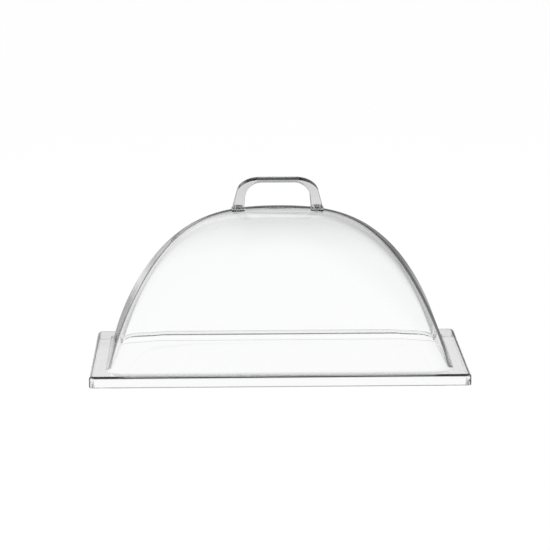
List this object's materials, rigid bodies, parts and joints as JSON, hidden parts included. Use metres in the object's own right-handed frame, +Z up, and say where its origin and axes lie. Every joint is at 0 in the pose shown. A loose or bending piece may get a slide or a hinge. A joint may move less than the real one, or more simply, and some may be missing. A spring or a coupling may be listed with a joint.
{
  "type": "buffet food cover dome",
  "caption": "Clear rectangular food cover with an arched dome on a flanged rim with a down-turned skirt, lifted by a clear bridge handle screwed to its top.",
  "frame": {"origin": "centre of the rim's footprint, on the surface that the skirt stands on", "axes": "+X along the long side, +Y along the short side, away from the pictured side, +Z up to the handle"},
  "size_m": [0.53, 0.325, 0.2679],
  "materials": {
    "clear_shell": "clear moulded polycarbonate, polished",
    "clear_handle": "clear moulded polycarbonate, polished",
    "stainless_screw": "turned stainless steel",
    "stainless_insert": "turned stainless steel with a knurled outside",
    "silicone": "translucent silicone, matt"
  },
  "bodies": {
    "root": {"dome_shell": "clear_shell", "handle": "clear_handle", "handle_screw_left": "stainless_screw", "handle_screw_right": "stainless_screw", "threaded_insert_left": "stainless_insert", "threaded_insert_right": "stainless_insert", "foot_gasket_left": "silicone", "foot_gasket_right": "silicone"}
  },
  "joints": []
}
